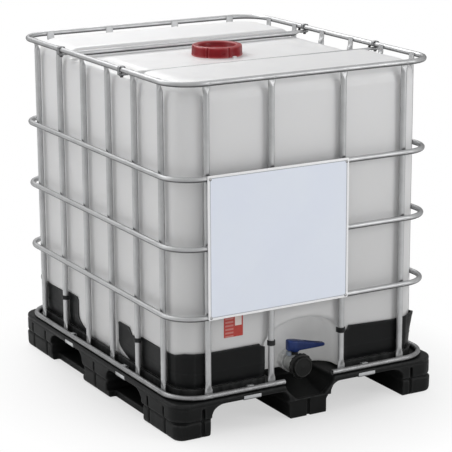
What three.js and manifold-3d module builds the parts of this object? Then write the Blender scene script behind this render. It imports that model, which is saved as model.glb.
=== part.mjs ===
// Intermediate bulk container: a blow-moulded tank in a welded steel tube cage on a plastic pallet.
// Millimetres, +Z up. The origin is on the floor at the centre of the footprint. The valve side
// is the short side that faces -Y, and the long sides run along Y.
import * as THREE from 'three';
import { mergeVertices } from 'three/addons/utils/BufferGeometryUtils.js';
import Module from 'manifold-3d';

const wasm = await Module();
wasm.setup();

// ---- driving dimensions -------------------------------------------------------------------
const GAP = 0.3;                       // clearance left between neighbouring pieces
const PALLET = { x: 500, y: 600, top: 122.7, corner: 60 };
const FOOT = { cornerX: 366, midX: 76, cornerY: 357, midY: 92 };
const FORK = { top: 104, bevel: 26, runnerTop: 22, runnerInset: 34 };
const GUTTER = { topHalf: 92, floorHalf: 58, lipZ: 66, backZ: 92, back: 428 };
const TRAY = { x: 458, y: 558, lip: 12, floorTop: 128, top: 150 };
const CAGE = { x: 484, y: 584, corner: 102, tube: 9 };      // hoop centre lines and tube radius
const HOOP_Z = { top: 1141, upper: 843, middle: 620, lower: 394, base: 132 };
const BASE_GAP_HALF = 92;              // the base hoop is left open around the valve
const UPRIGHT = { radius: 10, inset: 14.7, flatHalf: 14, flatThickness: 5, bottom: 124 };
const SIDE_UPRIGHTS = [461, 280, 93];  // distances from the middle of a long side
const END_UPRIGHTS = [367, 134];       // distances from the middle of a short side
const CROSSBAR = { y: 228, radius: 9, z: 1122.7, end: 492, flatHalf: 13, flatFrom: 462 };
const TANK = { x: 453, y: 553, corner: 80, wall: 4, bottom: 128.4, top: 1138 };
const VALLEY = { half: 256, slope: 12, z: 1108 };           // sunken middle of the tank top
const RECESS = { half: 148, spring: 240, top: 323, back: 440, corner: 62 };
const NECK = { y: 15, outer: 74, inner: 69, top: 1139 };
const LID = { outer: 87, inner: 75.6, bottom: 1112, top: 1149 };
const VALVE = { z: 156, bore: 22, spout: 29.5, front: 545, stemY: 497, stem: 5 };
const CAP_RADIUS = 42.5;
const CAP_FACE = 33.5;
const LEVER = { hub: 19, bottom: 200.5, top: 222.5, from: -30, to: 112 };
const GUARD = { inner: 453.4, thickness: 3.5, z0: 151, z1: 267, front: 150, frontLeg: 118, rearLeg: 205 };
const PLATE = { x0: -378, x1: 141, z0: 388, z1: 854, front: 597, back: 593.4, sheet: 1.2 };
const STICKER = { x0: -300, z0: 306, size: 70, thickness: 0.6 };
const CAGE_CLAMP = { width: 64, strip: 2.4, side: 200, end: 220 };

// ---- finishes -------------------------------------------------------------------------------
const finish = (color, roughness, metalness = 0) =>
  new THREE.MeshStandardMaterial({ color, roughness, metalness });
const galvanised = finish(0xb4b8ba, 0.42, 0.85);
const natural = finish(0xecebe6, 0.4);
const blackPlastic = finish(0x1d1f20, 0.55);
const darkSteel = finish(0x35373a, 0.5, 0.7);
const clampSteel = finish(0xa8abad, 0.4, 0.9);
const redPlastic = finish(0x8e1522, 0.35);
const bluePlastic = finish(0x1a2360, 0.45);
const rubber = finish(0x232323, 0.8);
const platePaint = finish(0xdde3ea, 0.3, 0.2);
const redLabel = finish(0xd2432e, 0.5);

const container = new THREE.Group();

function addPiece(name, geometry, material) {
  const mesh = new THREE.Mesh(geometry, material);
  mesh.name = name;
  container.add(mesh);
  return mesh;
}

// ---- shared geometry helpers ------------------------------------------------------------------
function signedVolume(points, triangles) {
  let sum = 0;
  for (let i = 0; i < triangles.length; i += 3) {
    const a = points[triangles[i]];
    const b = points[triangles[i + 1]];
    const c = points[triangles[i + 2]];
    sum += a.dot(new THREE.Vector3().crossVectors(b, c));
  }
  return sum / 6;
}

// A closed skin over rings of points: capped at both ends, or joined end to end.
function skin(rings, joined = false) {
  const n = rings[0].length;
  const points = rings.flat();
  const triangles = [];
  const last = joined ? rings.length : rings.length - 1;
  for (let r = 0; r < last; r++) {
    const a = r * n;
    const b = ((r + 1) % rings.length) * n;
    for (let i = 0; i < n; i++) {
      const j = (i + 1) % n;
      triangles.push(a + i, a + j, b + j, a + i, b + j, b + i);
    }
  }
  if (!joined) {
    const end = (rings.length - 1) * n;
    for (let i = 1; i < n - 1; i++) {
      triangles.push(0, i + 1, i);
      triangles.push(end, end + i, end + i + 1);
    }
  }
  if (signedVolume(points, triangles) < 0) triangles.reverse();
  const geometry = new THREE.BufferGeometry().setFromPoints(points);
  geometry.setIndex(triangles);
  geometry.computeVertexNormals();
  return geometry;
}

function solid(geometry) {
  const bare = geometry.clone();
  bare.deleteAttribute('normal');
  bare.deleteAttribute('uv');
  const merged = mergeVertices(bare, 1e-4);
  return new wasm.Manifold(new wasm.Mesh({
    numProp: 3,
    vertProperties: new Float32Array(merged.attributes.position.array),
    triVerts: new Uint32Array(merged.index.array),
  }));
}

function geometryOf(manifold) {
  const mesh = manifold.getMesh();
  const geometry = new THREE.BufferGeometry();
  geometry.setAttribute('position', new THREE.BufferAttribute(mesh.vertProperties, 3));
  geometry.setIndex(new THREE.BufferAttribute(mesh.triVerts, 1));
  geometry.computeVertexNormals();
  return geometry;
}

function box(x0, x1, y0, y1, z0, z1) {
  const geometry = new THREE.BoxGeometry(x1 - x0, y1 - y0, z1 - z0);
  return geometry.translate((x0 + x1) / 2, (y0 + y1) / 2, (z0 + z1) / 2);
}

function polygon(points) {
  return new THREE.Shape(points.map(([u, v]) => new THREE.Vector2(u, v)));
}

// A shape drawn in X and Z, running along Y from y0 to y1.
function alongY(points, y0, y1) {
  const geometry = new THREE.ExtrudeGeometry(polygon(points), { depth: y1 - y0, bevelEnabled: false });
  return geometry.rotateX(Math.PI / 2).translate(0, y1, 0);
}

// A shape drawn in Y and Z, running along X from x0 to x1.
function alongX(points, x0, x1) {
  const geometry = new THREE.ExtrudeGeometry(polygon(points), { depth: x1 - x0, bevelEnabled: false });
  return geometry.rotateX(Math.PI / 2).rotateZ(Math.PI / 2).translate(x0, 0, 0);
}

// A solid turned about a vertical axis, or about a line along Y with height measured to -Y.
function turned(profile, sides, axis, place) {
  const geometry = new THREE.LatheGeometry(profile.map(([r, h]) => new THREE.Vector2(r, h)), sides);
  if (axis === 'z') geometry.rotateX(Math.PI / 2);
  if (axis === 'y') geometry.rotateX(Math.PI);
  return geometry.translate(...place);
}

// Points of a rounded rectangle at height z, anticlockwise from the middle of the -Y side.
function roundedRectangle(halfX, halfY, radius, z, segments) {
  const points = [];
  const corners = [[1, -1, -90], [1, 1, 0], [-1, 1, 90], [-1, -1, 180]];
  for (const [sx, sy, start] of corners) {
    for (let i = 0; i <= segments; i++) {
      const angle = THREE.MathUtils.degToRad(start + (90 * i) / segments);
      const x = sx * (halfX - radius) + radius * Math.cos(angle);
      const y = sy * (halfY - radius) + radius * Math.sin(angle);
      points.push(new THREE.Vector3(x, y, z));
    }
  }
  return points;
}

function flatShape(points) {
  return new THREE.Shape(points.map((p) => new THREE.Vector2(p.x, p.y)));
}

function slab(points, z0, z1) {
  const geometry = new THREE.ExtrudeGeometry(flatShape(points), { depth: z1 - z0, bevelEnabled: false });
  return geometry.translate(0, 0, z0);
}

// ---- pallet -----------------------------------------------------------------------------------
// A fork pocket's section: bevelled top corners and an open bottom.
function pocketSection(from, to, bottom) {
  const { top, bevel } = FORK;
  return [
    [from, bottom], [to, bottom], [to, top - bevel],
    [to - bevel * 0.35, top - bevel * 0.35], [to - bevel, top],
    [from + bevel, top], [from + bevel * 0.35, top - bevel * 0.35], [from, top - bevel],
  ];
}

function forkPockets() {
  const cuts = [];
  for (const side of [-1, 1]) {
    const xs = [side * FOOT.midX, side * FOOT.cornerX].sort((a, b) => a - b);
    const ys = [side * FOOT.midY, side * FOOT.cornerY].sort((a, b) => a - b);
    cuts.push(alongY(pocketSection(xs[0], xs[1], -1), -PALLET.y - 1, PALLET.y + 1));
    cuts.push(alongX(pocketSection(ys[0], ys[1], FORK.runnerTop), -PALLET.x - 1, PALLET.x + 1));
    for (const edge of [-1, 1]) {
      const outer = [edge * (PALLET.x + 1), edge * (PALLET.x - FORK.runnerInset)].sort((a, b) => a - b);
      cuts.push(box(outer[0], outer[1], ys[0], ys[1], -1, FORK.runnerTop + 1));
    }
  }
  return cuts;
}

// The drain gutter under the valve: wide at the rim, narrow at its floor, rising to the back.
function gutterCut() {
  const { topHalf, floorHalf, lipZ, backZ, back } = GUTTER;
  const top = PALLET.top + 1;
  const ring = (y, floor) => [
    new THREE.Vector3(-topHalf, y, top), new THREE.Vector3(-floorHalf, y, floor),
    new THREE.Vector3(floorHalf, y, floor), new THREE.Vector3(topHalf, y, top),
  ];
  return skin([ring(-PALLET.y - 1, lipZ), ring(-back, backZ)]);
}

// The places of the cage clamps: centre, and whether the clamp is on a long side.
function clampPlaces() {
  const places = [];
  for (const side of [-1, 1]) {
    for (const along of [-1, 1]) {
      places.push({ name: `${side < 0 ? 'left' : 'right'}_${along < 0 ? 'front' : 'rear'}`,
        long: true, side, at: along * CAGE_CLAMP.side });
      places.push({ name: `${side < 0 ? 'front' : 'rear'}_${along < 0 ? 'left' : 'right'}`,
        long: false, side, at: along * CAGE_CLAMP.end });
    }
  }
  return places;
}

// A box in clamp coordinates: n is measured outwards from the hoop's centre line.
function boxAtRim(place, n0, n1, halfWidth, z0, z1) {
  const base = place.long ? CAGE.x : CAGE.y;
  const [a, b] = [place.side * (base + n0), place.side * (base + n1)].sort((p, q) => p - q);
  const [c, d] = [place.at - halfWidth, place.at + halfWidth];
  return place.long ? box(a, b, c, d, z0, z1) : box(c, d, a, b, z0, z1);
}

function makePallet() {
  const outline = roundedRectangle(PALLET.x, PALLET.y, PALLET.corner, 0, 4);
  let body = solid(slab(outline, 0, PALLET.top));
  for (const cut of forkPockets()) body = body.subtract(solid(cut));
  body = body.subtract(solid(gutterCut()));
  const half = CAGE_CLAMP.width / 2 + 1;
  for (const place of clampPlaces()) {
    body = body.subtract(solid(boxAtRim(place, -14, -8, half, FORK.top - 2, PALLET.top + 1)));
    body = body.subtract(solid(boxAtRim(place, 12, 20, half, FORK.top - 2, FORK.top + 14)));
  }
  return geometryOf(body);
}

// ---- tray under the tank ------------------------------------------------------------------------
function makeTray() {
  const bottom = PALLET.top + GAP;
  const outer = roundedRectangle(TRAY.x, TRAY.y, TANK.corner + 5, 0, 4);
  const inner = roundedRectangle(TRAY.x - TRAY.lip, TRAY.y - TRAY.lip, TANK.corner - 7, 0, 4);
  let body = solid(slab(outer, bottom, TRAY.top));
  body = body.subtract(solid(slab(inner, TRAY.floorTop, TRAY.top + 1)));
  body = body.subtract(solid(box(-RECESS.half - 2, RECESS.half + 2, -TRAY.y - 1, -GUTTER.back, 0, 200)));
  return geometryOf(body);
}

// ---- cage ---------------------------------------------------------------------------------------
// The hoop's centre line with outward directions, starting beside the valve on the -Y side.
function hoopPath(z, segments) {
  const path = [];
  const { x, y, corner } = CAGE;
  const corners = [[1, -1, -90], [1, 1, 0], [-1, 1, 90], [-1, -1, 180]];
  for (const [sx, sy, start] of corners) {
    for (let i = 0; i <= segments; i++) {
      const angle = THREE.MathUtils.degToRad(start + (90 * i) / segments);
      const out = new THREE.Vector3(Math.cos(angle), Math.sin(angle), 0);
      const centre = new THREE.Vector3(sx * (x - corner), sy * (y - corner), z);
      path.push({ at: centre.addScaledVector(out, corner), out });
    }
  }
  return path;
}

function tubeRing({ at, out }, radius, sides) {
  const ring = [];
  for (let i = 0; i < sides; i++) {
    const angle = (2 * Math.PI * (i + 0.5)) / sides;
    const point = at.clone().addScaledVector(out, radius * Math.cos(angle));
    point.z += radius * Math.sin(angle);
    ring.push(point);
  }
  return ring;
}

const HOOP_SIDES = 8;
const HOOP_CORNER_SEGMENTS = 5;

function makeHoop(z) {
  const path = hoopPath(z, HOOP_CORNER_SEGMENTS);
  return skin(path.map((step) => tubeRing(step, CAGE.tube, HOOP_SIDES)), true);
}

function makeBaseHoop(z) {
  const out = new THREE.Vector3(0, -1, 0);
  const end = (x) => ({ at: new THREE.Vector3(x, -CAGE.y, z), out });
  const path = [end(BASE_GAP_HALF), ...hoopPath(z, HOOP_CORNER_SEGMENTS), end(-BASE_GAP_HALF)];
  return skin(path.map((step) => tubeRing(step, CAGE.tube, HOOP_SIDES)));
}

// One upright, drawn at the origin with +X as its outward side: flattened at both ends and
// dimpled where it crosses a hoop.
function uprightRings() {
  const { radius, inset, flatHalf, flatThickness, bottom } = UPRIGHT;
  const limit = inset - CAGE.tube - GAP;
  const round = (z, flat) => [0, 60, 120, 180, 240, 300].map((degrees) => {
    const angle = THREE.MathUtils.degToRad(degrees);
    const out = radius * Math.sin(angle);
    return new THREE.Vector3(flat ? Math.min(out, limit) : out, radius * Math.cos(angle), z);
  });
  const pinched = (z) => {
    const middle = limit - flatThickness / 2;
    const rim = flatHalf * 0.7;
    return [
      new THREE.Vector3(middle, flatHalf, z), new THREE.Vector3(limit, rim, z),
      new THREE.Vector3(limit, -rim, z), new THREE.Vector3(middle, -flatHalf, z),
      new THREE.Vector3(limit - flatThickness, -rim, z), new THREE.Vector3(limit - flatThickness, rim, z),
    ];
  };
  const rings = [pinched(bottom), pinched(HOOP_Z.base + 12), round(HOOP_Z.base + 34, false)];
  for (const z of [HOOP_Z.lower, HOOP_Z.middle, HOOP_Z.upper]) {
    rings.push(round(z - 17, false), round(z - 10, true), round(z + 10, true), round(z + 17, false));
  }
  rings.push(round(HOOP_Z.top - 34, false), pinched(HOOP_Z.top - 13), pinched(HOOP_Z.top + 6));
  return rings;
}

function addUpright(name, x, y, turn) {
  const piece = addPiece(name, skin(uprightRings()), galvanised);
  piece.position.set(x, y, 0);
  piece.rotation.z = turn;
}

function addUprights() {
  const longX = CAGE.x - UPRIGHT.inset;
  const shortY = CAGE.y - UPRIGHT.inset;
  const alongSide = [...SIDE_UPRIGHTS.map((d) => -d), ...[...SIDE_UPRIGHTS].reverse()];
  alongSide.forEach((y, i) => {
    addUpright(`left_upright_${i + 1}`, -longX, y, Math.PI);
    addUpright(`right_upright_${i + 1}`, longX, y, 0);
  });
  const alongEnd = [...END_UPRIGHTS.map((d) => -d), ...[...END_UPRIGHTS].reverse()];
  alongEnd.forEach((x, i) => {
    addUpright(`front_upright_${i + 1}`, x, -shortY, -Math.PI / 2);
    addUpright(`rear_upright_${i + 1}`, x, shortY, Math.PI / 2);
  });
}

// A bar across the tank top with flattened ends that lie under the top hoop.
function makeCrossbar(y) {
  const { radius, z, end, flatHalf, flatFrom } = CROSSBAR;
  const top = z + radius - GAP;
  const sides = 8;
  const ring = (x, flat) => {
    const points = [];
    for (let i = 0; i < sides; i++) {
      const angle = (2 * Math.PI * (i + 0.5)) / sides;
      const across = (flat ? flatHalf : radius) * Math.cos(angle);
      const up = flat ? top - 3.4 + 3.4 * Math.sign(Math.sin(angle)) : z + radius * Math.sin(angle);
      points.push(new THREE.Vector3(x, y + across, up));
    }
    return points;
  };
  const shoulder = flatFrom - 26;
  return skin([ring(-end, true), ring(-flatFrom, true), ring(-shoulder, false),
    ring(shoulder, false), ring(flatFrom, true), ring(end, true)]);
}

// ---- bent strips ---------------------------------------------------------------------------------
// The outline of a strip of even thickness that follows a path of square bends.
function stripOutline(path, thickness) {
  const half = thickness / 2;
  const left = [];
  const right = [];
  path.forEach((point, i) => {
    const before = path[Math.max(i - 1, 0)];
    const after = path[Math.min(i + 1, path.length - 1)];
    const into = new THREE.Vector2(point[0] - before[0], point[1] - before[1]).normalize();
    const away = new THREE.Vector2(after[0] - point[0], after[1] - point[1]).normalize();
    const normal = new THREE.Vector2(-into.y - away.y, into.x + away.x);
    if (i > 0 && i < path.length - 1) normal.multiplyScalar(2 / normal.lengthSq());
    left.push([point[0] + normal.x * half, point[1] + normal.y * half]);
    right.push([point[0] - normal.x * half, point[1] - normal.y * half]);
  });
  return [...left, ...right.reverse()];
}

// A strip bent around the base hoop and the pallet rim, drawn with +X outwards.
function makeCageClamp(place) {
  const hoopTop = HOOP_Z.base + CAGE.tube + 1.6;
  const under = FORK.top - 1.6;
  const path = [[3, hoopTop], [-11, hoopTop], [-11, under], [14, under], [14, FORK.top + 12]];
  const half = CAGE_CLAMP.width / 2;
  const geometry = alongY(stripOutline(path, CAGE_CLAMP.strip), -half, half);
  geometry.translate(place.long ? CAGE.x : CAGE.y, 0, 0);
  if (place.long) {
    geometry.rotateZ(place.side < 0 ? Math.PI : 0);
    return geometry.translate(0, place.at, 0);
  }
  geometry.rotateZ((place.side * Math.PI) / 2);
  return geometry.translate(place.at, 0, 0);
}

// A dark strip that hooks over the top hoop and holds the flattened end of a crossbar.
function makeCrossbarClamp(side, y) {
  const top = HOOP_Z.top + CAGE.tube + 1.4;
  const under = CROSSBAR.z + CROSSBAR.radius - GAP - 6.8 - 1.4;
  const path = [[-10.8, HOOP_Z.top - 5], [-10.8, top], [10.8, top], [10.8, under], [-20, under]];
  const geometry = alongY(stripOutline(path, 2), -7, 7).translate(CAGE.x, 0, 0);
  geometry.rotateZ(side < 0 ? Math.PI : 0);
  return geometry.translate(0, y, 0);
}

// ---- tank ------------------------------------------------------------------------------------------
// The tank's round-cornered body as rings, drawn in by an inset all over.
function tankBody(inset) {
  const rows = [
    [34, TANK.bottom + inset], [19, TANK.bottom + inset + 4], [11, TANK.bottom + inset + 17],
    [11, TANK.bottom + 25], [0, TANK.bottom + 38], [0, 1080], [5, 1102], [17, 1121 - inset / 2],
    [34, TANK.top - 4 - inset], [60, TANK.top - inset],
  ];
  return skin(rows.map(([draw, z]) => roundedRectangle(
    TANK.x - draw - inset, TANK.y - draw - inset, TANK.corner - Math.min(draw, 14) - inset / 2, z, 5)));
}

// The space kept free round the valve: an arch from the front, with rounded rear corners in plan.
function recessCut(grow) {
  const { half, spring, top, back, corner } = RECESS;
  const section = [[-half - grow, 100], [half + grow, 100]];
  const steps = 8;
  for (let i = 0; i <= steps; i++) {
    const angle = (Math.PI * i) / steps;
    section.push([(half + grow) * Math.cos(angle), spring + (top + grow - spring) * Math.sin(angle)]);
  }
  const plan = [[-half - grow, -TANK.y - 20], [half + grow, -TANK.y - 20]];
  for (const [side, start] of [[1, 0], [-1, 90]]) {
    for (let i = 0; i <= 5; i++) {
      const angle = THREE.MathUtils.degToRad(start + 18 * i);
      plan.push([side * (half + grow - corner) + corner * Math.cos(angle),
        -back + grow - corner + corner * Math.sin(angle)]);
    }
  }
  const column = new THREE.ExtrudeGeometry(polygon(plan), { depth: top, bevelEnabled: false });
  return solid(alongY(section, -TANK.y - 20, -back + grow)).intersect(solid(column.translate(0, 0, 90)));
}

function valleyCut(grow) {
  const floor = VALLEY.z - grow;
  const half = VALLEY.half + grow;
  const above = TANK.top + 10;
  return alongX([[-half, floor], [half, floor], [half + VALLEY.slope, above], [-half - VALLEY.slope, above]],
    -TANK.x - 20, TANK.x + 20);
}

function makeTank() {
  const outer = solid(tankBody(0)).subtract(recessCut(0)).subtract(solid(valleyCut(0)));
  const inner = solid(tankBody(TANK.wall)).subtract(recessCut(TANK.wall))
    .subtract(solid(valleyCut(TANK.wall)));
  const column = (radius, z0, z1) => turned(
    [[0, z0], [radius, z0], [radius, z1], [0, z1]], 24, 'z', [0, NECK.y, 0]);
  const spout = (radius, y0, y1) => turned(
    [[0, y0], [radius, y0], [radius, y1], [0, y1]], 20, 'y', [0, 0, VALVE.z]);
  const shell = outer
    .add(solid(column(NECK.outer, VALLEY.z - 2, NECK.top)))
    .add(solid(spout(VALVE.spout, RECESS.back - 2, RECESS.back + 22)));
  return geometryOf(shell.subtract(inner)
    .subtract(solid(column(NECK.inner, VALLEY.z - 12, NECK.top + 1)))
    .subtract(solid(spout(VALVE.bore, RECESS.back - 12, RECESS.back + 23))));
}

// ---- lid -------------------------------------------------------------------------------------------
function makeLid() {
  const { outer, inner, bottom, top } = LID;
  const underside = NECK.top + 2.9;
  const profile = [
    [0, underside], [inner, underside], [inner, bottom], [outer, bottom], [outer, top - 3],
    [outer - 3, top], [outer - 24, top], [outer - 26, underside + 3.2], [0, underside + 3.2],
  ];
  return turned(profile, 28, 'z', [0, NECK.y, 0]);
}

function ringProfile(inner, outer, from, to) {
  return [[inner, from], [outer, from], [outer, to], [inner, to], [inner, from]];
}

// ---- outlet valve -------------------------------------------------------------------------------------
const onOutlet = [0, 0, VALVE.z];

function makeUnionNut() {
  const from = RECESS.back + 6;
  return turned(ringProfile(VALVE.spout + 0.9, 38, from, from + 30), 24, 'y', onOutlet);
}

function makeValveBody() {
  const start = RECESS.back + 22 + GAP;
  const front = VALVE.front;
  const profile = [
    [VALVE.bore, start], [VALVE.spout, start], [VALVE.spout, start + 15], [33, start + 17],
    [33, front - 26], [29.6, front - 24], [29.6, front], [VALVE.bore, front], [VALVE.bore, start],
  ];
  const stemBoss = turned([[0, 26], [11, 26], [11, 38], [0, 38]], 12, 'z', [0, -VALVE.stemY, VALVE.z]);
  const stemHole = turned([[0, 10], [VALVE.stem + 0.4, 10], [VALVE.stem + 0.4, 40], [0, 40]],
    12, 'z', [0, -VALVE.stemY, VALVE.z]);
  return geometryOf(solid(turned(profile, 20, 'y', onOutlet))
    .add(solid(stemBoss))
    .subtract(solid(turned([[0, start], [VALVE.bore, start], [VALVE.bore, front], [0, front]],
      20, 'y', onOutlet)))
    .subtract(solid(stemHole)));
}

// The closing disc and the stem that turns it are one piece.
function makeValveDisc() {
  const radius = VALVE.bore - 0.9;
  const disc = turned([[0, VALVE.stemY - 2.5], [radius, VALVE.stemY - 2.5],
    [radius, VALVE.stemY + 2.5], [0, VALVE.stemY + 2.5]], 20, 'y', onOutlet);
  const stem = turned([[0, 0], [VALVE.stem, 0], [VALVE.stem, 56], [0, 56]],
    10, 'z', [0, -VALVE.stemY, VALVE.z]);
  return geometryOf(solid(disc).add(solid(stem)));
}

// The lever stands across the flow when the valve is shut.
function makeLever() {
  const { hub, bottom, top, from, to } = LEVER;
  const plan = [[from, -14], [-12, -18], [14, -17], [to - 6, -12], [to, -7],
    [to, 7], [to - 6, 12], [14, 17], [-12, 18], [from, 14]];
  const arm = new THREE.ExtrudeGeometry(polygon(plan), { depth: top - bottom, bevelEnabled: false });
  arm.translate(0, -VALVE.stemY, bottom);
  const slope = alongY([[20, top + 1], [to + 1, top - 9], [to + 1, top + 5], [20, top + 5]],
    -VALVE.stemY - 30, -VALVE.stemY + 30);
  const hubPost = turned([[0, bottom - 3], [hub - 5, bottom - 3], [hub, bottom + 4], [hub, top + 3],
    [0, top + 3]], 16, 'z', [0, -VALVE.stemY, 0]);
  const socket = turned([[0, bottom - 4], [VALVE.stem + 0.3, bottom - 4],
    [VALVE.stem + 0.3, VALVE.z + 56 + GAP], [0, VALVE.z + 56 + GAP]], 10, 'z', [0, -VALVE.stemY, 0]);
  return geometryOf(solid(arm).subtract(solid(slope)).add(solid(hubPost)).subtract(solid(socket)));
}

function makeOutletCap() {
  const seat = VALVE.front + 2.4;
  const profile = [
    [0, seat], [30.2, seat], [30.2, seat - 20], [CAP_RADIUS, seat - 20], [CAP_RADIUS, seat - 7],
    [CAP_FACE + 1.5, seat - 5], [CAP_FACE, seat + 4], [CAP_FACE - 1, seat + 5], [31, seat + 5],
    [29.5, seat + 3], [0, seat + 3],
  ];
  return turned(profile, 24, 'y', onOutlet);
}

// ---- guards, plate and label ----------------------------------------------------------------------------
// A thin shell round one lower corner of the tank; sx and sy say which corner.
function makeGuard(sx, sy) {
  const { inner, thickness, z0, z1, front } = GUARD;
  const side = sy < 0 ? GUARD.frontLeg : GUARD.rearLeg;
  const grow = inner - TANK.x;
  const lengthwise = TANK.y - TANK.x;
  const arc = (offset, reverse) => {
    const points = [];
    const radius = TANK.corner + grow + offset;
    const segments = 5;
    for (let i = 0; i <= segments; i++) {
      const angle = (Math.PI / 2) * (i / segments);
      points.push([TANK.x - TANK.corner + radius * Math.cos(angle),
        TANK.y - TANK.corner + radius * Math.sin(angle)]);
    }
    return reverse ? points.reverse() : points;
  };
  const outside = inner + thickness;
  const outline = [[inner, side], [outside, side], ...arc(thickness, false),
    [front, outside + lengthwise], [front, inner + lengthwise], ...arc(0, true)];
  const placed = outline.map(([x, y]) => [sx * x, sy * y]);
  const geometry = new THREE.ExtrudeGeometry(polygon(placed), { depth: z1 - z0, bevelEnabled: false });
  return geometry.translate(0, 0, z0);
}

function makePlate() {
  const { x0, x1, z0, z1, front, back, sheet } = PLATE;
  const outer = solid(box(x0, x1, -front, -back, z0, z1));
  const hollow = box(x0 + sheet, x1 - sheet, -front + sheet, -back + 1, z0 + sheet, z1 - sheet);
  let plate = outer.subtract(solid(hollow));
  for (const [x, z] of plateScrewPlaces()) {
    plate = plate.subtract(solid(turned([[0, front - 3], [2.6, front - 3], [2.6, front + 1],
      [0, front + 1]], 8, 'y', [x, 0, z])));
  }
  return geometryOf(plate);
}

function plateScrewPlaces() {
  return [[PLATE.x0 + 9, HOOP_Z.upper], [PLATE.x1 - 9, HOOP_Z.upper],
    [PLATE.x0 + 9, HOOP_Z.lower + 2], [PLATE.x1 - 9, HOOP_Z.lower + 2]];
}

function makePlateScrew(x, z) {
  const face = PLATE.front + GAP;
  const profile = [[0, PLATE.back + 0.2], [2.2, PLATE.back + 0.2], [2.2, face], [5, face],
    [4.2, face + 2], [0, face + 2.6]];
  return turned(profile, 10, 'y', [x, 0, z]);
}

// ---- assembly ---------------------------------------------------------------------------------------------
addPiece('pallet', makePallet(), blackPlastic);
addPiece('tray', makeTray(), blackPlastic);
for (const level of ['top', 'upper', 'middle', 'lower']) {
  addPiece(`${level}_hoop`, makeHoop(HOOP_Z[level]), galvanised);
}
addPiece('base_hoop', makeBaseHoop(HOOP_Z.base), galvanised);
addUprights();
addPiece('front_crossbar', makeCrossbar(-CROSSBAR.y), galvanised);
addPiece('rear_crossbar', makeCrossbar(CROSSBAR.y), galvanised);
for (const [end, y] of [['front', -CROSSBAR.y], ['rear', CROSSBAR.y]]) {
  addPiece(`${end}_crossbar_clamp_left`, makeCrossbarClamp(-1, y), darkSteel);
  addPiece(`${end}_crossbar_clamp_right`, makeCrossbarClamp(1, y), darkSteel);
}
for (const place of clampPlaces()) {
  addPiece(`cage_clamp_${place.name}`, makeCageClamp(place), clampSteel);
}
addPiece('tank', makeTank(), natural);
addPiece('lid', makeLid(), redPlastic);
addPiece('lid_gasket', turned(ringProfile(NECK.inner + 0.5, NECK.outer - 0.5, NECK.top + GAP,
  NECK.top + 2.6), 28, 'z', [0, NECK.y, 0]), rubber);
addPiece('union_nut', makeUnionNut(), blackPlastic);
addPiece('valve_body', makeValveBody(), blackPlastic);
addPiece('valve_disc', makeValveDisc(), blackPlastic);
addPiece('valve_lever', makeLever(), bluePlastic);
addPiece('outlet_gasket', turned(ringProfile(VALVE.bore + 0.5, 29, VALVE.front + GAP,
  VALVE.front + 2.1), 20, 'y', onOutlet), rubber);
addPiece('outlet_cap', makeOutletCap(), blackPlastic);
addPiece('corner_guard_front_left', makeGuard(-1, -1), blackPlastic);
addPiece('corner_guard_front_right', makeGuard(1, -1), blackPlastic);
addPiece('corner_guard_rear_left', makeGuard(-1, 1), blackPlastic);
addPiece('corner_guard_rear_right', makeGuard(1, 1), blackPlastic);
addPiece('label_plate', makePlate(), platePaint);
plateScrewPlaces().forEach(([x, z], i) => {
  addPiece(`plate_screw_${i + 1}`, makePlateScrew(x, z), galvanised);
});
addPiece('tank_label', box(STICKER.x0, STICKER.x0 + STICKER.size, -TANK.y - GAP - STICKER.thickness,
  -TANK.y - GAP, STICKER.z0, STICKER.z0 + STICKER.size), redLabel);

export default container;
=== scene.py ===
import math
from contextlib import contextmanager
import bmesh
import bpy
from mathutils import Matrix, Vector, noise


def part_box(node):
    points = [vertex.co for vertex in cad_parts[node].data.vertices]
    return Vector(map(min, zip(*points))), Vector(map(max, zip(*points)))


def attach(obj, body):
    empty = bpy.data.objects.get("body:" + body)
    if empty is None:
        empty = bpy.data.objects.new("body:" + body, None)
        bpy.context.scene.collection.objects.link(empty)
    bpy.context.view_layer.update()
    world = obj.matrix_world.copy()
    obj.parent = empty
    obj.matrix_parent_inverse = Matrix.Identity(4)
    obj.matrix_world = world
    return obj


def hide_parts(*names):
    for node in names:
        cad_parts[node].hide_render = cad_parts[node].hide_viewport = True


# Intermediate bulk container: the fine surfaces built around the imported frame. Metres, and MM
# turns millimetres into metres.
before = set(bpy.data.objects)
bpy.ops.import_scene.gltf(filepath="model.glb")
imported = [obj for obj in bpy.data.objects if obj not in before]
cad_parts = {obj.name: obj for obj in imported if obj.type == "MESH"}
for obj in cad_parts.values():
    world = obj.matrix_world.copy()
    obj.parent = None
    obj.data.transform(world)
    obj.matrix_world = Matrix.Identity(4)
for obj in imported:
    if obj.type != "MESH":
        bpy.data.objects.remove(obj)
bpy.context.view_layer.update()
MM = 0.001
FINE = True
OVER = 0.01                                          # how far a cutter stands past a surface


# ---- places read from the frame ----
def middle(node, axis):
    return sum(corner[axis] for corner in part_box(node)) / 2


def centre(node):
    low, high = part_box(node)
    return (low + high) / 2


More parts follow.
